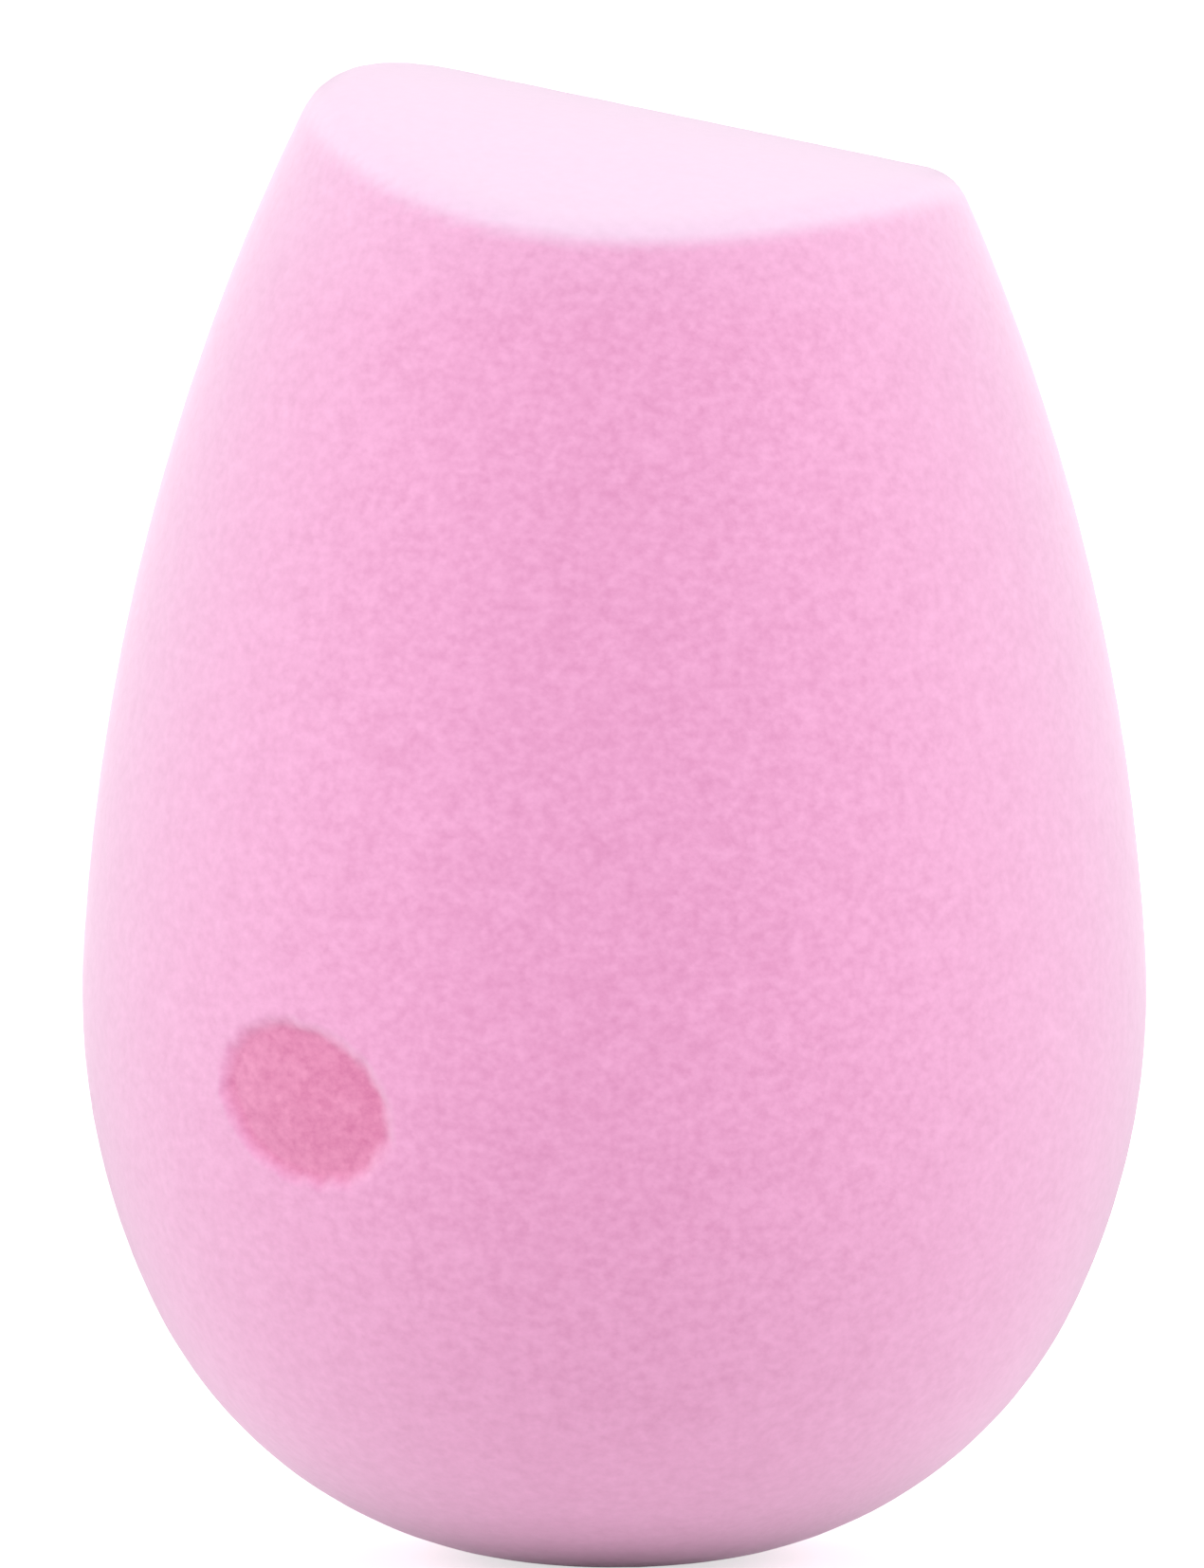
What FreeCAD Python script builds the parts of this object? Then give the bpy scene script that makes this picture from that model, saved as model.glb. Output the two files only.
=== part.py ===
# Makeup sponge: a foam egg with a slanted, gently crowned face, coated with glue and flocked all over.
# Millimetres. +Z is up, and the origin is the centre of the small flat that the sponge stands on.
# The face falls towards +X, so both sides of the XZ plane are alike, apart from the pressed oval.
import FreeCAD, Part
import math
import os

import Sketcher

# Driving sizes: lengths in millimetres, and turns, leans and tilts in degrees.
SIZES = [
    # Outline of the egg, over the flock
    ("width", 43.0, "largest diameter of the egg"),
    ("belly_height", 23.0, "height of the widest line"),
    ("foot_diameter", 7.0, "flat that the sponge stands on"),
    ("foot_rise", 4.7, "angle at which the haunch leaves the flat"),
    ("belly_drop", 26.0, "turn of the belly arc below the widest line"),
    ("belly_rise", 3.2, "turn of the belly arc above the widest line"),
    ("shoulder_height", 59.0, "height at which the shoulder turns into the straight side"),
    ("side_lean", 26.2, "lean of the side at the end of the shoulder"),
    # Slanted face
    ("face_height", 58.6, "height of the face on the axis of the egg"),
    ("face_slant", 9.2, "fall of the face towards +X"),
    ("face_crown", 37.5, "radius of the face across its slant"),
    ("rim_round", 2.3, "radius of the soft rim round the face"),
    # Layers over the foam
    ("pile", 0.6, "length of the flock fibres"),
    ("glue_film", 0.15, "thickness of the flocking glue"),
    # Plain oval pressed into the flock
    ("oval_length", 8.2, "long axis of the pressed oval"),
    ("oval_breadth", 6.2, "short axis of the pressed oval"),
    ("oval_depth", 0.3, "how far the pile is pressed down"),
    ("oval_height", 20.5, "height of the oval's centre"),
    ("oval_bearing", -106.0, "direction of the oval round the axis, from +X"),
    ("oval_tilt", 18.0, "turn of the oval in its own place"),
    # Cutting tools
    ("overrun", 2.0, "how far a cutter passes the surface it cuts"),
    ("crown_sweep", 60.0, "turn of the face's cutter to each side of its crest"),
]

# Point positions of a sketch element, and the sketch's own axes and origin
START, END, CENTRE = range(1, 4)
H_AXIS, V_AXIS = range(-1, -3, -1)
ORIGIN = (H_AXIS, START)

doc = FreeCAD.newDocument("makeup_sponge")
sheet = doc.addObject("Spreadsheet::Sheet", "Sizes")
for row, (alias, value, meaning) in enumerate(SIZES, start=1):
    sheet.set(f"A{row}", meaning)
    sheet.set(f"B{row}", str(value))
    sheet.setAlias(f"B{row}", alias)
doc.recompute()


def size(alias):
    """A driving size, read from the sheet."""
    return float(sheet.get(alias))


def origin_plane(body, role):
    """One of the body's own origin planes."""
    return next(item for item in body.Origin.OriginFeatures if item.Role == role)


def new_sketch(body, name, role):
    """An empty sketch on one of the body's own origin planes."""
    sketch = body.newObject("Sketcher::SketchObject", name)
    sketch.AttachmentSupport = [(origin_plane(body, role), "")]
    sketch.MapMode = "FlatFace"
    return sketch


def dimension(sketch, kind, places, start_value, expression):
    """Add a dimension to the sketch and bind it to the sheet."""
    index = sketch.addConstraint(Sketcher.Constraint(kind, *places, start_value))
    sketch.setExpression(f"Constraints[{index}]", expression)


def depth_text(layers):
    """Expression for how far a form lies under the outside of the sponge."""
    return "(" + " + ".join(f"Sizes.{layer}" for layer in layers) + ")" if layers else "0"


def arc_of(centre, radius, first, last):
    """Counter-clockwise arc in a sketch, with its angles in radians."""
    circle = Part.Circle(centre, FreeCAD.Vector(0, 0, 1), radius)
    return Part.ArcOfCircle(circle, first, last)


def line_of(first, last):
    """Straight line in a sketch."""
    return Part.LineSegment(first, last)


def outline_points(depth):
    """Places along the half outline of a form that lies the given depth under the outside."""
    rise = math.radians(size("foot_rise"))
    drop = math.radians(size("belly_drop"))
    lift = math.radians(size("belly_rise"))
    lean = math.radians(size("side_lean"))
    foot = FreeCAD.Vector(size("foot_diameter") / 2 - depth * math.tan(rise / 2), depth)
    belly = FreeCAD.Vector(size("width") / 2 - depth, size("belly_height"))
    # The haunch and belly arcs together span the way from the foot to the widest line.
    haunch_run = math.cos(drop) - math.sin(rise)
    haunch_climb = math.cos(rise) - math.sin(drop)
    belly_run = 1 - math.cos(drop)
    belly_climb = math.sin(drop)
    span = belly - foot
    mix = haunch_run * belly_climb - belly_run * haunch_climb
    haunch_radius = (span.x * belly_climb - belly_run * span.y) / mix
    belly_radius = (haunch_run * span.y - span.x * haunch_climb) / mix
    haunch_centre = foot + FreeCAD.Vector(-math.sin(rise), math.cos(rise)) * haunch_radius
    belly_centre = belly - FreeCAD.Vector(belly_radius, 0)
    neck = belly_centre + FreeCAD.Vector(math.cos(lift), math.sin(lift)) * belly_radius
    shoulder_end = size("shoulder_height") - depth * math.sin(lean)
    shoulder_radius = (shoulder_end - neck.y) / (math.sin(lean) - math.sin(lift))
    shoulder_centre = neck - FreeCAD.Vector(math.cos(lift), math.sin(lift)) * shoulder_radius
    shoulder = shoulder_centre + FreeCAD.Vector(math.cos(lean), math.sin(lean)) * shoulder_radius
    top = blank_top()
    side = FreeCAD.Vector(shoulder.x - (top - shoulder.y) * math.tan(lean), top)
    arcs = [
        arc_of(haunch_centre, haunch_radius, rise - math.pi / 2, -drop),
        arc_of(belly_centre, belly_radius, -drop, 0),
        arc_of(belly_centre, belly_radius, 0, lift),
        arc_of(shoulder_centre, shoulder_radius, lift, lean),
    ]
    return foot, arcs, shoulder, side


def blank_top():
    """Height of the uncut egg, above every point of the slanted face and of the shoulder."""
    slope = math.tan(math.radians(size("face_slant")))
    return max(size("face_height") + size("width") / 2 * slope, size("shoulder_height")) + size("overrun")


def draw_outline(sketch, layers):
    """Half outline of the egg: foot, haunch arc, belly arc, shoulder arc, straight side and axis."""
    depth = depth_text(layers)
    foot, arcs, shoulder, side = outline_points(sum(size(layer) for layer in layers))
    foot_centre = FreeCAD.Vector(0, foot.y)
    top_centre = FreeCAD.Vector(0, side.y)
    flat = sketch.addGeometry(line_of(foot_centre, foot))
    haunch, lower_belly, upper_belly, shoulder_arc = [sketch.addGeometry(arc) for arc in arcs]
    straight = sketch.addGeometry(line_of(shoulder, side))
    lid = sketch.addGeometry(line_of(side, top_centre))
    axis = sketch.addGeometry(line_of(top_centre, foot_centre))
    corners = [(flat, haunch), (lower_belly, upper_belly), (straight, lid), (lid, axis), (axis, flat)]
    for first, last in corners:
        sketch.addConstraint(Sketcher.Constraint("Coincident", first, END, last, START))
    for first, last in [(haunch, lower_belly), (upper_belly, shoulder_arc), (shoulder_arc, straight)]:
        sketch.addConstraint(Sketcher.Constraint("Tangent", first, END, last, START))
    sketch.addConstraint(Sketcher.Constraint("Coincident", lower_belly, CENTRE, upper_belly, CENTRE))
    sketch.addConstraint(Sketcher.Constraint("Horizontal", lower_belly, CENTRE, lower_belly, END))
    for level in (flat, lid):
        sketch.addConstraint(Sketcher.Constraint("Horizontal", level))
    sketch.addConstraint(Sketcher.Constraint("PointOnObject", flat, START, V_AXIS))
    sketch.addConstraint(Sketcher.Constraint("PointOnObject", lid, END, V_AXIS))

    # Where the outline stands, how wide it is and how high it goes
    dimension(sketch, "DistanceY", (*ORIGIN, flat, START), foot.y, depth)
    dimension(sketch, "DistanceX", (*ORIGIN, flat, END), foot.x,
              f"Sizes.foot_diameter / 2 - {depth} * tan(Sizes.foot_rise / 2)")
    belly = arcs[1].EndPoint
    dimension(sketch, "DistanceX", (*ORIGIN, lower_belly, END), belly.x, f"Sizes.width / 2 - {depth}")
    dimension(sketch, "DistanceY", (*ORIGIN, lower_belly, END), belly.y, "Sizes.belly_height")
    dimension(sketch, "DistanceY", (*ORIGIN, shoulder_arc, END), shoulder.y,
              f"Sizes.shoulder_height - {depth} * sin(Sizes.side_lean)")
    dimension(sketch, "DistanceY", (*ORIGIN, lid, END), side.y,
              "max(Sizes.face_height + Sizes.width / 2 * tan(Sizes.face_slant); Sizes.shoulder_height)"
              " + Sizes.overrun")

    # How far each arc turns
    turns = [
        (haunch, "90 - Sizes.foot_rise - Sizes.belly_drop"),
        (lower_belly, "Sizes.belly_drop"),
        (upper_belly, "Sizes.belly_rise"),
        (shoulder_arc, "Sizes.side_lean - Sizes.belly_rise"),
    ]
    for (arc, expression), drawn in zip(turns, arcs):
        dimension(sketch, "Angle", (arc,), drawn.LastParameter - drawn.FirstParameter, expression)


def draw_crown(sketch, layers):
    """Closed outline of all that lies above the crowned face, seen along the slant."""
    depth = depth_text(layers)
    radius = size("face_crown") - sum(size(layer) for layer in layers)
    sweep = math.radians(size("crown_sweep"))
    upright = math.pi / 2
    centre = FreeCAD.Vector(0, -size("face_crown"))
    drawn = arc_of(centre, radius, upright - sweep, upright + sweep)
    top = size("width") / 2
    upper_left = FreeCAD.Vector(drawn.EndPoint.x, top)
    upper_right = FreeCAD.Vector(drawn.StartPoint.x, top)
    crown = sketch.addGeometry(drawn)
    left = sketch.addGeometry(line_of(drawn.EndPoint, upper_left))
    lid = sketch.addGeometry(line_of(upper_left, upper_right))
    right = sketch.addGeometry(line_of(upper_right, drawn.StartPoint))
    for first, last in [(crown, left), (left, lid), (lid, right), (right, crown)]:
        sketch.addConstraint(Sketcher.Constraint("Coincident", first, END, last, START))
    for upright_line in (left, right):
        sketch.addConstraint(Sketcher.Constraint("Vertical", upright_line))
    sketch.addConstraint(Sketcher.Constraint("Horizontal", lid))
    sketch.addConstraint(Sketcher.Constraint("PointOnObject", crown, CENTRE, V_AXIS))
    dimension(sketch, "DistanceY", (crown, CENTRE, *ORIGIN), size("face_crown"), "Sizes.face_crown")
    dimension(sketch, "Radius", (crown,), radius, f"Sizes.face_crown - {depth}")
    sketch.addConstraint(Sketcher.Constraint("Horizontal", crown, START, crown, END))
    dimension(sketch, "Angle", (crown,), drawn.LastParameter - drawn.FirstParameter, "2 * Sizes.crown_sweep")
    dimension(sketch, "DistanceY", (*ORIGIN, lid, END), top, "Sizes.width / 2")


def rim_edges(shape):
    """Names of the edges between the crowned face and the side of the egg."""
    face = next(item for item in shape.Faces if isinstance(item.Surface, Part.Cylinder))
    rim = face.OuterWire.Edges
    return [f"Edge{index}" for index, edge in enumerate(shape.Edges, start=1)
            if any(edge.isSame(other) for other in rim)]


def egg_form(name, layers):
    """Solid egg with the slanted face and its soft rim, lying under the named layers."""
    body = doc.addObject("PartDesign::Body", name)
    outline = new_sketch(body, f"{name}_outline", "XZ_Plane")
    draw_outline(outline, layers)
    # Half a turn and its mirror image leave no closed ring in the rim, so the rim survives a change of size.
    half = body.newObject("PartDesign::Revolution", f"{name}_half")
    half.Profile = outline
    half.ReferenceAxis = (outline, ["V_Axis"])
    half.Angle = 180
    egg = body.newObject("PartDesign::Mirrored", f"{name}_egg")
    egg.Originals = [half]
    egg.MirrorPlane = (origin_plane(body, "XZ_Plane"), [""])
    body.Tip = egg
    doc.recompute()

    crown = new_sketch(body, f"{name}_crown", "YZ_Plane")
    slant = FreeCAD.Rotation(FreeCAD.Vector(1, 0, 0), size("face_slant"))
    crown.AttachmentOffset = FreeCAD.Placement(FreeCAD.Vector(0, size("face_height"), 0), slant)
    crown.setExpression("AttachmentOffset.Base.y", "Sizes.face_height")
    crown.setExpression("AttachmentOffset.Rotation.Angle", "Sizes.face_slant")
    draw_crown(crown, layers)
    cut = body.newObject("PartDesign::Pocket", f"{name}_face")
    cut.Profile = crown
    cut.Type = "ThroughAll"
    cut.SideType = "Symmetric"
    doc.recompute()
    if not cut.Shape.Volume < egg.Shape.Volume:
        raise RuntimeError(f"the slanted face of {name} cuts nothing")

    rim = body.newObject("PartDesign::Fillet", f"{name}_rim")
    rim.Base = (cut, rim_edges(cut.Shape))
    rim.setExpression("Radius", f"Sizes.rim_round - {depth_text(layers)}")
    doc.recompute()
    return body


def cut_of(name, base, tool):
    """What is left of one solid when another is taken out of it."""
    cut = doc.addObject("Part::Cut", name)
    cut.Base = base
    cut.Tool = tool
    return cut


def oval_press(floor):
    """The pile that the plain oval presses away, down to the given floor."""
    oval = doc.addObject("Part::Ellipse", "oval")
    oval.setExpression("MajorRadius", "Sizes.oval_length / 2")
    oval.setExpression("MinorRadius", "Sizes.oval_breadth / 2")
    # The oval stands upright on the axis, faces outwards and is then tilted in its own plane.
    across = FreeCAD.Vector(0, 1, 0)
    up = FreeCAD.Vector(0, 0, 1)
    outwards = FreeCAD.Vector(1, 0, 0)
    upright = FreeCAD.Rotation(across, up, outwards, "ZXY")
    bearing = FreeCAD.Rotation(up, size("oval_bearing"))
    tilt = FreeCAD.Rotation(FreeCAD.Vector(0, 0, 1), -size("oval_tilt"))
    oval.Placement = FreeCAD.Placement(FreeCAD.Vector(0, 0, size("oval_height")), bearing * upright * tilt)
    oval.setExpression("Placement.Base.z", "Sizes.oval_height")
    stamp = doc.addObject("Part::Extrusion", "oval_stamp")
    stamp.Base = oval
    stamp.DirMode = "Custom"
    stamp.Dir = oval.Placement.Rotation.multVec(FreeCAD.Vector(0, 0, 1))
    stamp.Solid = True
    stamp.setExpression("LengthFwd", "Sizes.width / 2 + Sizes.overrun")
    return cut_of("oval_press", stamp, floor)


# Nested forms, from the outside in: the whole sponge, the floor of the oval, the glue and the foam
flock_form = egg_form("flock_form", [])
oval_floor = egg_form("oval_floor", ["oval_depth"])
glue_form = egg_form("glue_form", ["pile"])
foam_core = egg_form("foam_core", ["pile", "glue_film"])

adhesive_film = cut_of("adhesive_film", glue_form, foam_core)
flock_shell = cut_of("flock_shell", flock_form, glue_form)
flock_cover = cut_of("flock_cover", flock_shell, oval_press(oval_floor))
doc.recompute()

for item in doc.Objects:
    if {"Invalid", "Error"} & set(item.State):
        raise RuntimeError(f"{item.Label} did not compute: {item.State}")

os.makedirs("parts", exist_ok=True)
pieces = [foam_core, adhesive_film, flock_cover]
for piece in pieces:
    if piece.Shape.isNull() or not piece.Shape.isValid() or len(piece.Shape.Solids) != 1:
        raise RuntimeError(f"{piece.Label} is not one valid solid")
if not flock_cover.Shape.Volume < flock_shell.Shape.Volume:
    raise RuntimeError("the oval presses nothing")
for piece in pieces:
    piece.Shape.exportStep(os.path.join("parts", f"{piece.Label}.step"))
    box = piece.Shape.BoundBox
    extents = f"{box.XLength:.2f} x {box.YLength:.2f} x {box.ZLength:.2f} mm"
    print(f"{piece.Label}: {piece.Shape.Volume:.1f} mm3, {extents}")
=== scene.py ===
"""Makeup sponge: a foam egg with a slanted, crowned face, flocked all over, dressed around its CAD frame."""
import math

import bmesh
import bpy
import numpy as np
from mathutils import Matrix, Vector, noise


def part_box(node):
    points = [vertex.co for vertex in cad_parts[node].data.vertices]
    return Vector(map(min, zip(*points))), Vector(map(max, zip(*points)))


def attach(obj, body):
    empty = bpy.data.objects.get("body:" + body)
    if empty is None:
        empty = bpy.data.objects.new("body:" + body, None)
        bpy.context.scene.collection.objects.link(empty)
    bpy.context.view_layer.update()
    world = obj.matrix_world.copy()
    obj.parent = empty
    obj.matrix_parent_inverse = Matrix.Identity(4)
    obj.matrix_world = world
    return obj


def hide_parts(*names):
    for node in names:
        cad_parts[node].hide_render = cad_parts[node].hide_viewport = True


bl_info = {
    "name": "Makeup Sponge",
    "version": (1, 0, 0),
    "blender": (4, 5, 0),
    "location": "View3D > Sidebar > Sponge",
    "description": "Dresses a flocked makeup sponge around its CAD frame",
    "category": "Object",
}

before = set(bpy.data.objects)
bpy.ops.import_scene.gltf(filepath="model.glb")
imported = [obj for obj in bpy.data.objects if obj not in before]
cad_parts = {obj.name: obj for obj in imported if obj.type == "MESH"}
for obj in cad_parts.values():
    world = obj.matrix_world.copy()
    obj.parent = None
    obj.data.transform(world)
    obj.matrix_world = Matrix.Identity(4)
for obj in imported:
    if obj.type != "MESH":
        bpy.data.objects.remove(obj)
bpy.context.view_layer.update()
MM = 0.001

# Where the sponge stands in the photograph, in pixels of its frame
PICTURE_HEIGHT = 1654
PICTURE_MIDDLE = (635.0, 827.0)
SPONGE_SPAN = 1121.0
AXIS_COLUMN = 648.0
FOOT_ROW = 1641.0

# Halvings that find a surface along a ray, and the step that measures its slope
HALVINGS = 36
SLOPE_STEP = 0.01 * MM

# Quads along each side of the ball that a layer is made from
CORE_GRID = 96
COAT_GRID = 80
PILE_GRID = 110
PILE_LINING_GRID = 40

# Reaches of the oval inside which the pile's mesh is refined, one after the other
REFINED_REACHES = (1.5, 1.25)

# Height of a tuft or cell against its width, as a stretch of the grain's coordinates
GRAIN_STRETCH = (1.0, 1.0, 1.25)

# Part of the grain's range over which the flock goes from root to tip
FLECK_RANGE = (0.31, 0.69)

# Lamps: place to the right of, in front of and above the sponge's middle, side of the square, and its power
LAMPS = (
    ("Top Light", (0.0, 0.0, 0.6), 0.5, "top_power"),
    ("Right Light", (0.5, 0.0, 0.15), 0.35, "side_power"),
    ("Left Light", (-0.5, 0.0, 0.15), 0.35, "side_power"),
    ("Front Light", (0.0, 0.45, 0.6), 0.4, "front_power"),
    ("Back Light", (0.0, -0.5, 0.45), 0.4, "back_power"),
)
FLOOR_RADIUS = 1.5
FLOOR_SIDES = 96


def node_width(node):
    """Width of a CAD node along X, in millimetres."""
    low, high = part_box(node)
    return (high.x - low.x) / MM


def layer_depth(outer, inner):
    """Thickness of a CAD layer over the layer inside it, in millimetres."""
    return (node_width(outer) - node_width(inner)) / 2


def length(name, description, millimetres):
    """Property for a length, with its default in millimetres."""
    return bpy.props.FloatProperty(
        name=name, description=description, default=millimetres * MM, precision=5, unit="LENGTH")


def angle(name, description, degrees):
    """Property for an angle, with its default in degrees."""
    return bpy.props.FloatProperty(
        name=name, description=description, default=math.radians(degrees), subtype="ANGLE")


def share(name, description, default):
    """Property for a number from nothing to all."""
    return bpy.props.FloatProperty(
        name=name, description=description, default=default, min=0.0, max=1.0, subtype="FACTOR")


def tint(name, description, default):
    """Property for a colour, in linear red, green and blue."""
    return bpy.props.FloatVectorProperty(
        name=name, description=description, default=default, min=0.0, max=1.0, subtype="COLOR")


def power(name, description, watts):
    """Property for the power of a lamp."""
    return bpy.props.FloatProperty(
        name=name, description=description, default=watts, min=0.0, unit="POWER")


class SpongeForm(bpy.types.PropertyGroup):
    """Sizes of the sponge's outside and of the layers under it"""
    width: length("Width", "Largest diameter of the egg", node_width("flock_cover"))
    belly_height: length("Belly Height", "Height of the widest line", 23.0)
    foot_diameter: length("Foot", "Flat that the sponge stands on", 7.0)
    foot_rise: angle("Foot Rise", "Angle at which the haunch leaves the flat", 4.7)
    belly_drop: angle("Belly Drop", "Turn of the belly arc below the widest line", 26.0)
    belly_rise: angle("Belly Rise", "Turn of the belly arc above the widest line", 3.2)
    shoulder_height: length("Shoulder Height", "Height at which the shoulder arc ends", 59.0)
    side_lean: angle("Side Lean", "Lean of the side at the end of the shoulder", 26.2)
    face_height: length("Face Height", "Height of the face on the axis of the egg", 58.6)
    face_slant: angle("Face Slant", "Fall of the face towards +X", 9.2)
    face_crown: length("Face Crown", "Radius of the face across its slant", 37.5)
    rim_round: length("Rim Round", "Radius of the soft rim round the face", 2.3)
    pile: length("Pile", "Length of the flock fibres", layer_depth("flock_cover", "adhesive_film"))
    glue: length("Glue", "Thickness of the flocking glue", layer_depth("adhesive_film", "foam_core"))
    oval_length: length("Oval Length", "Long axis of the pressed oval", 8.2)
    oval_breadth: length("Oval Breadth", "Short axis of the pressed oval", 6.2)
    oval_depth: length("Oval Depth", "How far the pile is pressed down", 0.3)
    oval_height: length("Oval Height", "Height of the oval's centre", 20.5)
    oval_bearing: angle("Oval Bearing", "Direction of the oval round the axis, from +X", -106.0)
    oval_tilt: angle("Oval Tilt", "Turn of the oval in its own place", 18.0)
    oval_edge: length("Oval Edge", "Width of the soft edge of the pressed oval", 0.7)
    oval_fray: length("Oval Fray", "Unevenness of the edge of the pressed oval", 0.12)


class SpongeFinish(bpy.types.PropertyGroup):
    """Colours and fine detail of the three layers"""
    pile_tip: tint("Pile Tip", "Flock where its tips catch the light", (0.885, 0.405, 0.665))
    # Roots: partly random tone and partly painted shade, as the grain's low parts are also the bump's
    # hollows.
    pile_root_tone_and_shade: tint("Pile Root", "Flock in the small hollows of the nap", (0.76, 0.305, 0.54))
    pressed_tip: tint("Pressed Tip", "Flock that lies flat in the oval", (0.80, 0.28, 0.48))
    pressed_root_tone_and_shade: tint("Pressed Root", "Hollows between the flat fibres of the oval", (0.64, 0.16, 0.34))
    # Painted sheen: a pale colour mixed into the base colour where the pile is seen at a low angle.
    painted_sheen_pile: tint("Pale Pile", "Flock seen along its surface", (0.83, 0.68, 0.79))
    painted_sheen_share: share("Pale Share", "How far the flock pales where it is seen along its surface", 0.6)
    # Painted light from above: the face and its rim pale by how far their normals point up.
    top_light_pile: tint("Crest Pile", "Flock that fans out over the face and its rim", (0.93, 0.79, 0.96))
    top_light_share: share("Crest Share", "How far the flock pales on the slanted face", 0.64)
    top_light_start: share("Crest Start", "Upward part of the normal at which the flock starts to pale", 0.355)
    top_light_full: share("Crest Full", "Upward part of the normal from which the flock is palest", 0.66)
    flat_share: share("Flat Share", "How much less the flat flock of the oval pales", 0.3)
    pile_sheen: tint("Pile Sheen", "Light that the fibres send back at a low angle", (1.0, 0.86, 0.96))
    sheen_weight: share("Sheen", "Strength of the pile's sheen", 0.65)
    sheen_roughness: share("Sheen Spread", "How widely the sheen spreads from the edge", 0.45)
    nap_grain: length("Nap Grain", "Width of the tufts that the fibres stand in", 0.5)
    nap_patch: length("Nap Patch", "Width of the patches in which the nap lies alike", 1.8)
    patch_share: share("Patch Share", "How much of the flock's mottling comes from the patches", 0.2)
    nap_height: length("Nap Height", "Unevenness of the pile's surface", 0.012)
    foam_wall: tint("Foam Wall", "Walls of the foam's cells", (0.90, 0.56, 0.72))
    # Painted shade: the darker colour of the cell hollows.
    foam_hollow_shade: tint("Foam Hollow", "Hollows of the foam's cells", (0.70, 0.33, 0.50))
    foam_cell: length("Foam Cell", "Width of one cell of the foam", 1.1)
    foam_pit: length("Foam Pit", "Depth of the open cells at the foam's surface", 0.14)
    glue_colour: tint("Glue", "Milky flocking glue", (0.88, 0.60, 0.72))
    glue_thin: tint("Thin Glue", "Glue where it lies thinly", (0.82, 0.50, 0.65))


class SpongeStage(bpy.types.PropertyGroup):
    """Floor, light and camera"""
    azimuth: angle("Azimuth", "Direction of the camera round the sponge", 20.0)
    elevation: angle("Elevation", "Height of the camera above the level", 6.4)
    lens: bpy.props.FloatProperty(
        name="Lens", description="Focal length of the camera", default=1000.0, unit="CAMERA")
    floor_colour: tint("Floor", "Colour of the floor", (0.95, 0.95, 0.95))
    floor_lift: share("Floor Lift", "Light that the floor gives the camera alone", 0.65)
    ambient: bpy.props.FloatProperty(
        name="Ambient", description="Strength of the light from all round", default=0.32, min=0.0)
    top_power: power("Top Light", "Power of the light overhead", 0.4)
    side_power: power("Side Lights", "Power of the light on each side", 1.07)
    front_power: power("Front Light", "Power of the light above the camera", 2.85)
    back_power: power("Back Light", "Power of the light behind the sponge", 1.2)


def egg_arcs(form):
    """Arcs of the half outline, from the foot up: centre, radius, and lean of the first and last normal."""
    foot = np.array((form.foot_diameter / 2, 0))
    belly = np.array((form.width / 2, form.belly_height))
    # The haunch and belly arcs together span the way from the foot to the widest line.
    runs = np.array((
        (math.cos(form.belly_drop) - math.sin(form.foot_rise), 1 - math.cos(form.belly_drop)),
        (math.cos(form.foot_rise) - math.sin(form.belly_drop), math.sin(form.belly_drop)),
    ))
    haunch_radius, belly_radius = np.linalg.solve(runs, belly - foot)
    haunch_centre = foot + haunch_radius * np.array((-math.sin(form.foot_rise), math.cos(form.foot_rise)))
    belly_centre = belly - np.array((belly_radius, 0))
    neck_normal = np.array((math.cos(form.belly_rise), math.sin(form.belly_rise)))
    neck = belly_centre + belly_radius * neck_normal
    shoulder_climb = math.sin(form.side_lean) - math.sin(form.belly_rise)
    shoulder_radius = (form.shoulder_height - neck[1]) / shoulder_climb
    shoulder_centre = neck - shoulder_radius * neck_normal
    return (
        (haunch_centre, haunch_radius, form.foot_rise - math.pi / 2, -form.belly_drop),
        (belly_centre, belly_radius, -form.belly_drop, form.belly_rise),
        (shoulder_centre, shoulder_radius, form.belly_rise, form.side_lean),
    )


def distance_outside(points, form):
    """How far each point lies outside the sponge. Inside it, the distance is negative."""
    x, y, z = points.T
    radius = np.hypot(x, y)
    # The egg is convex, so its distance is the largest over the flat foot and the planes that touch its arcs.
    side = -z
    lean = np.full(len(points), -math.pi / 2)
    for centre, arc_radius, first, last in egg_arcs(form):
        run, climb = radius - centre[0], z - centre[1]
        touch = np.clip(np.arctan2(climb, run), first, last)
        distance = run * np.cos(touch) + climb * np.sin(touch) - arc_radius
        lean = np.where(distance > side, touch, lean)
        side = np.maximum(side, distance)
    fall, level = math.sin(form.face_slant), math.cos(form.face_slant)
    # Only the upper half of the face's cylinder counts, because the lower half would cut into the foot.
    lift = np.maximum((z - form.face_height) * level + x * fall + form.face_crown, 0)
    face = np.hypot(y, lift) - form.face_crown
    turn = np.arctan2(y, lift)
    # A ball of the rim's radius rolls inside the corner between side and face.
    outward = np.cos(lean) / np.maximum(radius, SLOPE_STEP)
    cosine = outward * (x * np.cos(turn) * fall + y * np.sin(turn)) + np.sin(lean) * np.cos(turn) * level
    side, face = side + form.rim_round, face + form.rim_round
    on_rim = (side > face * cosine) & (face > side * cosine) & (z > form.belly_height)
    square = np.maximum(side ** 2 + face ** 2 - 2 * side * face * cosine, 0)
    rim = np.sqrt(square / np.where(on_rim, 1 - cosine ** 2, 1))
    return np.where(on_rim, rim, np.maximum(side, face)) - form.rim_round


def cast(directions, form, depth):
    """Points where rays from the heart of the sponge reach the surface at the depth under its outside."""
    heart = np.array((0, 0, form.face_height / 2))
    near = np.zeros(len(directions))
    far = np.full(len(directions), form.face_height)
    for _ in range(HALVINGS):
        middle = (near + far) / 2
        inside = distance_outside(heart + middle[:, None] * directions, form) < -depth
        near = np.where(inside, middle, near)
        far = np.where(inside, far, middle)
    return heart + far[:, None] * directions


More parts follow.
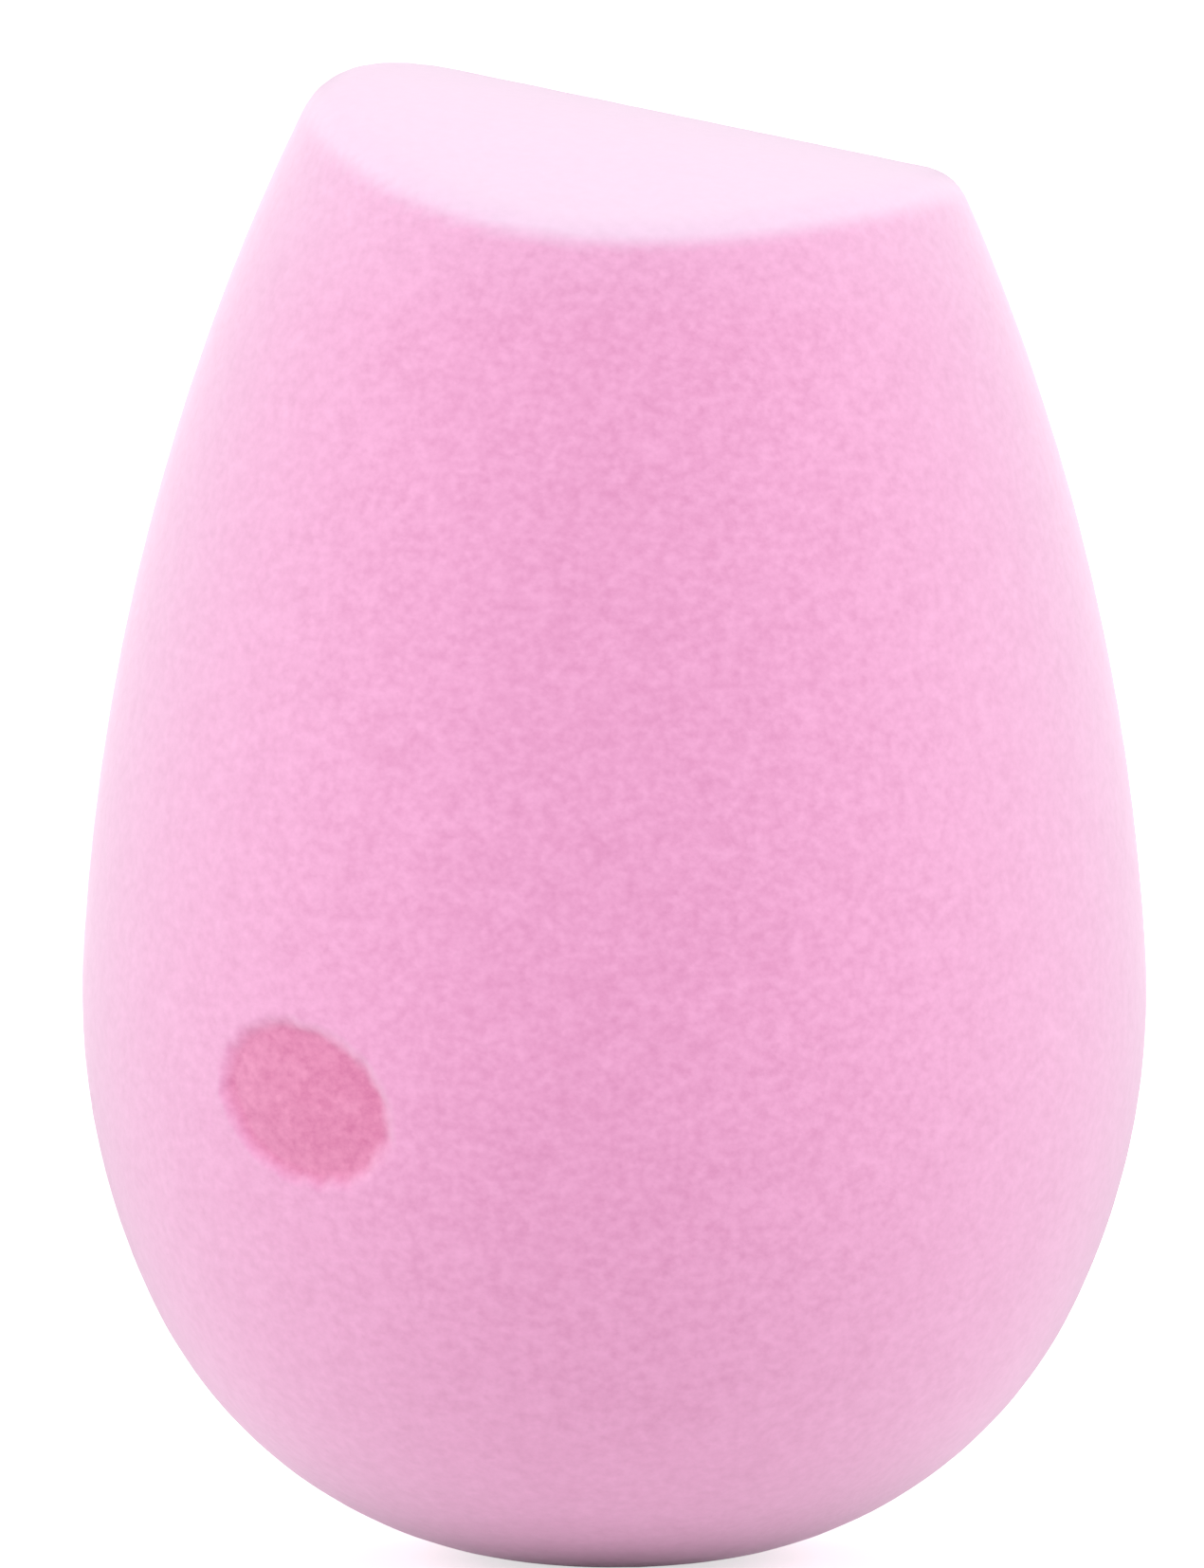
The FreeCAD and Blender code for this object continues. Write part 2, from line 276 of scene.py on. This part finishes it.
def outward_normals(points, form):
    """Directions in which the distance from the sponge grows fastest."""
    steps = SLOPE_STEP * np.eye(3)
    slopes = [distance_outside(points + step, form) - distance_outside(points - step, form) for step in steps]
    normals = np.stack(slopes, axis=1)
    return normals / np.linalg.norm(normals, axis=1, keepdims=True)


def smooth(value):
    """Soft step from 0 to 1."""
    value = np.clip(value, 0, 1)
    return value * value * (3 - 2 * value)


def oval_reach(points, form):
    """How far out each point lies on the pressed oval: 0 at its centre, 1 at its edge, more outside it."""
    outwards = np.array((math.cos(form.oval_bearing), math.sin(form.oval_bearing), 0))
    across = np.array((-outwards[1], outwards[0], 0))
    up = np.array((0, 0, 1))
    long_axis = math.cos(form.oval_tilt) * across - math.sin(form.oval_tilt) * up
    short_axis = math.sin(form.oval_tilt) * across + math.cos(form.oval_tilt) * up
    offset = points - np.array((0, 0, form.oval_height))
    along = offset @ long_axis / (form.oval_length / 2)
    aside = offset @ short_axis / (form.oval_breadth / 2)
    return np.where(offset @ outwards > 0, np.hypot(along, aside), np.inf)


def oval_press(points, form):
    """How far the pile is pressed down at each point: 1 inside the oval and 0 outside it."""
    inside = (1 - oval_reach(points, form)) * form.oval_breadth / 2
    inside += ripple(points, form.oval_edge) * form.oval_fray
    return smooth(inside / form.oval_edge + 0.5)


def ripple(points, wavelength):
    """Even, repeatable unevenness from -1 to 1, with bumps of the given width."""
    return np.array([noise.noise(Vector(point) / wavelength) for point in points])


def globe(count):
    """Ball of quads whose points are directions: a cube with its sides divided by equal angles."""
    ball = bmesh.new()
    bmesh.ops.create_cube(ball, size=2)
    bmesh.ops.subdivide_edges(ball, edges=ball.edges[:], cuts=count - 1, use_grid_fill=True)
    for vert in ball.verts:
        vert.co = Vector(math.tan(part * math.pi / 4) for part in vert.co).normalized()
    return ball


def directions_of(ball):
    """Points of a ball as an array of unit directions."""
    points = np.array([vert.co for vert in ball.verts])
    return points / np.linalg.norm(points, axis=1, keepdims=True)


def move_points(ball, points):
    """Put the points of a ball where the array says."""
    for vert, point in zip(ball.verts, points):
        vert.co = point


def refine(ball, chosen):
    """Halve the edges between the chosen points."""
    ball.verts.index_update()
    edges = [edge for edge in ball.edges if all(chosen[vert.index] for vert in edge.verts)]
    bmesh.ops.subdivide_edges(ball, edges=edges, cuts=1, use_grid_fill=True)
    many_sided = [face for face in ball.faces if len(face.verts) > 4]
    bmesh.ops.triangulate(ball, faces=many_sided)


def inner_wall(form, depth, count):
    """Closed wall at the given depth, facing inwards."""
    wall = globe(count)
    move_points(wall, cast(directions_of(wall), form, depth))
    bmesh.ops.reverse_faces(wall, faces=wall.faces[:])
    return wall


def add_wall(ball, wall):
    """Join a wall to a ball, and free the wall."""
    mesh = bpy.data.meshes.new("wall")
    wall.to_mesh(mesh)
    wall.free()
    ball.from_mesh(mesh)
    bpy.data.meshes.remove(mesh)


def make_piece(name, ball, material, node):
    """Turn a ball into a smooth piece of the sponge that stands for a CAD node."""
    mesh = bpy.data.meshes.new(name)
    ball.to_mesh(mesh)
    ball.free()
    mesh.shade_smooth()
    mesh.materials.append(material)
    piece = bpy.data.objects.new(name, mesh)
    bpy.context.scene.collection.objects.link(piece)
    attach(piece, "root")
    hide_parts(node)
    return piece


def add_node(tree, kind, values=None, **settings):
    """New shader node, with its settings and the values of its sockets."""
    node = tree.nodes.new(kind)
    for setting, value in settings.items():
        setattr(node, setting, value)
    for socket, value in (values or {}).items():
        node.inputs[socket].default_value = value
    return node


def mix_colours(tree, factor, first, second):
    """Colour between two colours. Each of the three is a socket, a colour or a number."""
    mix = add_node(tree, "ShaderNodeMix", data_type="RGBA")
    sockets = {item.identifier: item for item in mix.inputs}
    for name, value in (("Factor_Float", factor), ("A_Color", first), ("B_Color", second)):
        if isinstance(value, bpy.types.NodeSocket):
            tree.links.new(value, sockets[name])
        else:
            sockets[name].default_value = value
    return next(item for item in mix.outputs if item.identifier == "Result_Color")


def opaque(colour):
    """Colour property as a socket's four numbers."""
    return (*colour, 1)


def soft_grain_group():
    """Node group: fine grain and broad patches in the object's own space."""
    group = bpy.data.node_groups.get("Soft Grain")
    if group:
        return group
    group = bpy.data.node_groups.new("Soft Grain", "ShaderNodeTree")
    for name in ("Grain Size", "Patch Size"):
        group.interface.new_socket(name, in_out="INPUT", socket_type="NodeSocketFloat")
    for name in ("Grain", "Patch"):
        group.interface.new_socket(name, in_out="OUTPUT", socket_type="NodeSocketFloat")
    inputs = add_node(group, "NodeGroupInput")
    outputs = add_node(group, "NodeGroupOutput")
    place = add_node(group, "ShaderNodeTexCoord")
    # The grain lies a little flat: each tuft or cell is wider than it is high.
    flat = add_node(group, "ShaderNodeVectorMath", {1: GRAIN_STRETCH}, operation="MULTIPLY")
    group.links.new(place.outputs["Object"], flat.inputs[0])
    for size, result, detail in (("Grain Size", "Grain", 3.0), ("Patch Size", "Patch", 1.0)):
        scale = add_node(group, "ShaderNodeMath", {0: 1.0}, operation="DIVIDE")
        clouds = add_node(group, "ShaderNodeTexNoise", {"Detail": detail, "Roughness": 0.6})
        group.links.new(inputs.outputs[size], scale.inputs[1])
        group.links.new(flat.outputs[0], clouds.inputs["Vector"])
        group.links.new(scale.outputs[0], clouds.inputs["Scale"])
        group.links.new(clouds.outputs["Fac"], outputs.inputs[result])
    return group


def new_material(name, grain_size, patch_size):
    """Material with the grain group and an empty main shader."""
    material = bpy.data.materials.new(name)
    material.use_nodes = True
    tree = material.node_tree
    shader = tree.nodes["Principled BSDF"]
    grain = add_node(tree, "ShaderNodeGroup", node_tree=soft_grain_group())
    grain.inputs["Grain Size"].default_value = grain_size
    grain.inputs["Patch Size"].default_value = patch_size
    return material, tree, shader, grain


def add_bump(tree, shader, height, distance, strength):
    """Fine relief on the shader's normal."""
    bump = add_node(tree, "ShaderNodeBump", {"Strength": strength, "Distance": distance})
    tree.links.new(height, bump.inputs["Height"])
    tree.links.new(bump.outputs["Normal"], shader.inputs["Normal"])


def flock_material(finish):
    """Short dense velvet: grainy pink pile, darker where it is pressed flat, with painted sheen that pales it
    at low angles and painted light from above that pales the face and its rim.
    """
    material, tree, shader, grain = new_material("Velvet Flock", finish.nap_grain, finish.nap_patch)
    shader.inputs["Roughness"].default_value = 0.95
    shader.inputs["Specular IOR Level"].default_value = 0.15
    shader.inputs["Sheen Weight"].default_value = finish.sheen_weight
    shader.inputs["Sheen Roughness"].default_value = finish.sheen_roughness
    shader.inputs["Sheen Tint"].default_value = opaque(finish.pile_sheen)
    mottle = add_node(tree, "ShaderNodeMix", {"Factor": finish.patch_share})
    tree.links.new(grain.outputs["Grain"], mottle.inputs["A"])
    tree.links.new(grain.outputs["Patch"], mottle.inputs["B"])
    flecks = add_node(tree, "ShaderNodeMapRange", {"From Min": FLECK_RANGE[0], "From Max": FLECK_RANGE[1]})
    tree.links.new(mottle.outputs["Result"], flecks.inputs["Value"])
    fleck = flecks.outputs["Result"]
    # Grain tone: darker where the grain is low, which is also where the bump is low, so it is partly random
    # tone and partly painted shade in the nap's hollows.
    pile = mix_colours(tree, fleck, opaque(finish.pile_root_tone_and_shade), opaque(finish.pile_tip))
    flat = mix_colours(tree, fleck, opaque(finish.pressed_root_tone_and_shade), opaque(finish.pressed_tip))
    pressed = add_node(tree, "ShaderNodeAttribute", attribute_name="pressed")
    flock = mix_colours(tree, pressed.outputs["Fac"], pile, flat)
    # Painted light from above: where the normal points up, on the face and its rim, the flock is mixed
    # towards a paler pink.
    crest = add_node(tree, "ShaderNodeAttribute", attribute_name="crest")
    top_lit_share = add_node(tree, "ShaderNodeMath", {1: finish.top_light_share}, operation="MULTIPLY")
    tree.links.new(crest.outputs["Fac"], top_lit_share.inputs[0])
    flock = mix_colours(tree, top_lit_share.outputs[0], flock, opaque(finish.top_light_pile))

    # Painted sheen: where the pile is seen at a low angle, its colour is mixed towards a pale pink, less in
    # the pressed oval; this adds to the shader's own sheen.
    along = add_node(tree, "ShaderNodeLayerWeight", {"Blend": 0.5})
    shares = {1: -finish.flat_share, 2: finish.painted_sheen_share}
    painted_sheen_amount = add_node(tree, "ShaderNodeMath", shares, operation="MULTIPLY_ADD")
    tree.links.new(pressed.outputs["Fac"], painted_sheen_amount.inputs[0])
    pale = add_node(tree, "ShaderNodeMath", operation="MULTIPLY")
    tree.links.new(along.outputs["Facing"], pale.inputs[0])
    tree.links.new(painted_sheen_amount.outputs[0], pale.inputs[1])
    colour = mix_colours(tree, pale.outputs[0], flock, opaque(finish.painted_sheen_pile))
    tree.links.new(colour, shader.inputs["Base Color"])
    add_bump(tree, shader, grain.outputs["Grain"], distance=0.05 * MM, strength=0.5)
    return material


def foam_material(finish):
    """Open-cell foam: pale walls round hollows darkened with painted shade."""
    cell = finish.foam_cell
    material, tree, shader, grain = new_material("Open Cell Foam", grain_size=cell / 3, patch_size=cell * 6)
    shader.inputs["Roughness"].default_value = 0.9
    shader.inputs["Specular IOR Level"].default_value = 0.2
    place = add_node(tree, "ShaderNodeTexCoord")
    cells = add_node(tree, "ShaderNodeTexVoronoi", {"Scale": 1 / cell}, feature="DISTANCE_TO_EDGE")
    tree.links.new(place.outputs["Object"], cells.inputs["Vector"])
    hollow = add_node(tree, "ShaderNodeMapRange", {"From Min": 0.02, "From Max": 0.3})
    tree.links.new(cells.outputs["Distance"], hollow.inputs["Value"])
    shade = add_node(tree, "ShaderNodeMath", operation="MULTIPLY")
    tree.links.new(hollow.outputs["Result"], shade.inputs[0])
    tree.links.new(grain.outputs["Patch"], shade.inputs[1])
    # Painted shade: away from the cell walls the foam is mixed towards the darker hollow colour, varied by
    # the patches.
    colour = mix_colours(tree, shade.outputs[0], opaque(finish.foam_wall), opaque(finish.foam_hollow_shade))
    tree.links.new(colour, shader.inputs["Base Color"])
    depth = add_node(tree, "ShaderNodeMath", {0: 1.0}, operation="SUBTRACT")
    tree.links.new(hollow.outputs["Result"], depth.inputs[1])
    add_bump(tree, shader, depth.outputs[0], distance=0.2 * MM, strength=0.8)
    return material


def glue_material(finish):
    """Thin flexible glue: milky, uneven and a little shiny."""
    material, tree, shader, grain = new_material("Flocking Glue", finish.nap_grain * 2, finish.nap_patch)
    shader.inputs["Specular IOR Level"].default_value = 0.4
    colour = mix_colours(tree, grain.outputs["Patch"], opaque(finish.glue_thin), opaque(finish.glue_colour))
    tree.links.new(colour, shader.inputs["Base Color"])
    gloss = add_node(tree, "ShaderNodeMapRange", {"To Min": 0.35, "To Max": 0.6})
    tree.links.new(grain.outputs["Grain"], gloss.inputs["Value"])
    tree.links.new(gloss.outputs["Result"], shader.inputs["Roughness"])
    add_bump(tree, shader, grain.outputs["Grain"], distance=0.05 * MM, strength=0.4)
    return material


class SPONGE_OT_foam_core(bpy.types.Operator):
    """Build the foam core, with open cells in its surface"""
    bl_idname = "sponge.foam_core"
    bl_label = "Foam Core"

    def execute(self, context):
        form, finish = context.scene.sponge_form, context.scene.sponge_finish
        core = globe(CORE_GRID)
        points = cast(directions_of(core), form, form.pile + form.glue)
        pits = np.clip(ripple(points, finish.foam_cell), 0, 1) * finish.foam_pit
        move_points(core, points - outward_normals(points, form) * pits[:, None])
        piece = make_piece("foam_core_cells", core, foam_material(finish), "foam_core")
        return {"FINISHED"}


class SPONGE_OT_adhesive_film(bpy.types.Operator):
    """Build the thin coat of glue between foam and flock"""
    bl_idname = "sponge.adhesive_film"
    bl_label = "Adhesive Film"

    def execute(self, context):
        form, finish = context.scene.sponge_form, context.scene.sponge_finish
        coat = globe(COAT_GRID)
        move_points(coat, cast(directions_of(coat), form, form.pile))
        add_wall(coat, inner_wall(form, form.pile + form.glue, COAT_GRID))
        make_piece("adhesive_film_coat", coat, glue_material(finish), "adhesive_film")
        return {"FINISHED"}


class SPONGE_OT_flock_cover(bpy.types.Operator):
    """Build the velvet flock, with its nap and the oval pressed into it"""
    bl_idname = "sponge.flock_cover"
    bl_label = "Flock Cover"

    def execute(self, context):
        form, finish = context.scene.sponge_form, context.scene.sponge_finish
        cover = globe(PILE_GRID)
        for margin in REFINED_REACHES:
            reach = oval_reach(cast(directions_of(cover), form, 0), form)
            refine(cover, reach < margin)
        points = cast(directions_of(cover), form, 0)
        pressed = oval_press(points, form)
        nap = ripple(points, 2 * finish.nap_grain) * finish.nap_height
        rise = nap - pressed * form.oval_depth
        normals = outward_normals(points, form)
        # Painted light from above: a mask that grows with the upward part of the normal, stored for the
        # material.
        crest = (normals[:, 2] - finish.top_light_start) / (finish.top_light_full - finish.top_light_start)
        points += normals * rise[:, None]
        points[:, 2] = np.maximum(points[:, 2], 0)
        move_points(cover, points)
        for name, values in (("pressed", pressed), ("crest", np.clip(crest, 0, 1))):
            layer = cover.verts.layers.float.new(name)
            for vert, value in zip(cover.verts, values):
                vert[layer] = value
        add_wall(cover, inner_wall(form, form.pile, PILE_LINING_GRID))
        make_piece("flock_cover_pile", cover, flock_material(finish), "flock_cover")
        return {"FINISHED"}


def white_for_camera(tree):
    """Socket that is 1 for rays from the camera, straight or by way of metal or glass."""
    path = add_node(tree, "ShaderNodeLightPath")
    total = path.outputs["Is Camera Ray"]
    for name in ("Is Glossy Ray", "Is Transmission Ray"):
        add = add_node(tree, "ShaderNodeMath", operation="ADD", use_clamp=True)
        tree.links.new(total, add.inputs[0])
        tree.links.new(path.outputs[name], add.inputs[1])
        total = add.outputs[0]
    return total


def aim(thing, target):
    """Point a lamp or a camera at a place."""
    thing.rotation_euler = (target - thing.location).to_track_quat("-Z", "Y").to_euler()


def add_lamp(name, place, target, side, power):
    """Square soft light."""
    data = bpy.data.lights.new(name, "AREA")
    data.size = side
    data.energy = power
    lamp = bpy.data.objects.new(name, data)
    lamp.location = place
    aim(lamp, target)
    bpy.context.scene.collection.objects.link(lamp)


def add_world(stage):
    """White surroundings for the camera, and an even light from all round for the sponge."""
    world = bpy.data.worlds.new("Studio")
    bpy.context.scene.world = world
    world.use_nodes = True
    tree = world.node_tree
    light = tree.nodes["Background"]
    light.inputs["Color"].default_value = (1, 1, 1, 1)
    light.inputs["Strength"].default_value = stage.ambient
    backdrop = add_node(tree, "ShaderNodeBackground", {"Color": (1, 1, 1, 1), "Strength": 1.0})
    choice = add_node(tree, "ShaderNodeMixShader")
    tree.links.new(white_for_camera(tree), choice.inputs["Fac"])
    tree.links.new(light.outputs[0], choice.inputs[1])
    tree.links.new(backdrop.outputs[0], choice.inputs[2])
    tree.links.new(choice.outputs[0], tree.nodes["World Output"].inputs["Surface"])


def floor_material(stage):
    """Matt pale floor that reads white to the camera where nothing shades it."""
    material = bpy.data.materials.new("Pale Floor")
    material.use_nodes = True
    tree = material.node_tree
    shader = tree.nodes["Principled BSDF"]
    shader.inputs["Base Color"].default_value = opaque(stage.floor_colour)
    shader.inputs["Roughness"].default_value = 1.0
    shader.inputs["Specular IOR Level"].default_value = 0.0
    glow = add_node(tree, "ShaderNodeEmission")
    strength = add_node(tree, "ShaderNodeMath", {1: stage.floor_lift}, operation="MULTIPLY")
    tree.links.new(white_for_camera(tree), strength.inputs[0])
    tree.links.new(strength.outputs[0], glow.inputs["Strength"])
    total = add_node(tree, "ShaderNodeAddShader")
    tree.links.new(shader.outputs[0], total.inputs[0])
    tree.links.new(glow.outputs[0], total.inputs[1])
    tree.links.new(total.outputs[0], tree.nodes["Material Output"].inputs["Surface"])
    return material


def add_floor(stage):
    """Round floor under the sponge."""
    disc = bmesh.new()
    bmesh.ops.create_circle(disc, cap_ends=True, segments=FLOOR_SIDES, radius=FLOOR_RADIUS)
    mesh = bpy.data.meshes.new("floor")
    disc.to_mesh(mesh)
    disc.free()
    mesh.materials.append(floor_material(stage))
    floor = bpy.data.objects.new("floor", mesh)
    bpy.context.scene.collection.objects.link(floor)


def sides_of_view(stage):
    """Level directions from the sponge towards the camera and to the camera's right."""
    front = Vector((math.sin(stage.azimuth), -math.cos(stage.azimuth), 0))
    right = Vector((math.cos(stage.azimuth), math.sin(stage.azimuth), 0))
    return front, right


def add_camera(stage, form):
    """Camera that frames the sponge as the photograph does."""
    data = bpy.data.cameras.new("Camera")
    data.lens = stage.lens
    camera = bpy.data.objects.new("Camera", data)
    pixel = form.width / SPONGE_SPAN
    distance = PICTURE_HEIGHT * pixel * data.lens / data.sensor_width
    front, right = sides_of_view(stage)
    back = front * math.cos(stage.elevation)
    back.z = math.sin(stage.elevation)
    up = back.cross(right)
    target = right * (PICTURE_MIDDLE[0] - AXIS_COLUMN) * pixel + up * (FOOT_ROW - PICTURE_MIDDLE[1]) * pixel
    camera.location = target + back * distance
    aim(camera, target)
    bpy.context.scene.collection.objects.link(camera)
    bpy.context.scene.camera = camera


class SPONGE_OT_stage(bpy.types.Operator):
    """Set up the floor, the light and the camera"""
    bl_idname = "sponge.stage"
    bl_label = "Stage"

    def execute(self, context):
        stage, form = context.scene.sponge_stage, context.scene.sponge_form
        middle = Vector((0, 0, form.face_height / 2))
        add_world(stage)
        add_floor(stage)
        front, right = sides_of_view(stage)
        up = Vector((0, 0, 1))
        for name, (across, forward, climb), side, power_name in LAMPS:
            place = middle + across * right + forward * front + climb * up
            add_lamp(name, place, middle, side, getattr(stage, power_name))
        add_camera(stage, form)
        context.scene.view_settings.view_transform = "Standard"
        return {"FINISHED"}


OPERATORS = (SPONGE_OT_foam_core, SPONGE_OT_adhesive_film, SPONGE_OT_flock_cover, SPONGE_OT_stage)


class SPONGE_PT_build(bpy.types.Panel):
    """Steps that build the sponge, and the values that they use"""
    bl_label = "Makeup Sponge"
    bl_space_type = "VIEW_3D"
    bl_region_type = "UI"
    bl_category = "Sponge"

    def draw(self, context):
        for operator in OPERATORS:
            self.layout.operator(operator.bl_idname)
        for group in (context.scene.sponge_form, context.scene.sponge_finish, context.scene.sponge_stage):
            box = self.layout.box()
            for name in group.__annotations__:
                box.prop(group, name)


GROUPS = {"sponge_form": SpongeForm, "sponge_finish": SpongeFinish, "sponge_stage": SpongeStage}


def register():
    """Add the classes, and the groups of values to the scene."""
    for item in (*GROUPS.values(), *OPERATORS, SPONGE_PT_build):
        bpy.utils.register_class(item)
    for name, group in GROUPS.items():
        setattr(bpy.types.Scene, name, bpy.props.PointerProperty(type=group))


def unregister():
    """Take the groups of values and the classes away again."""
    for name in GROUPS:
        delattr(bpy.types.Scene, name)
    for item in (SPONGE_PT_build, *reversed(OPERATORS), *reversed(GROUPS.values())):
        bpy.utils.unregister_class(item)


def main():
    """Build the sponge and its stage."""
    register()
    bpy.ops.sponge.foam_core()
    bpy.ops.sponge.adhesive_film()
    bpy.ops.sponge.flock_cover()
    bpy.ops.sponge.stage()


if __name__ == "__main__":
    main()
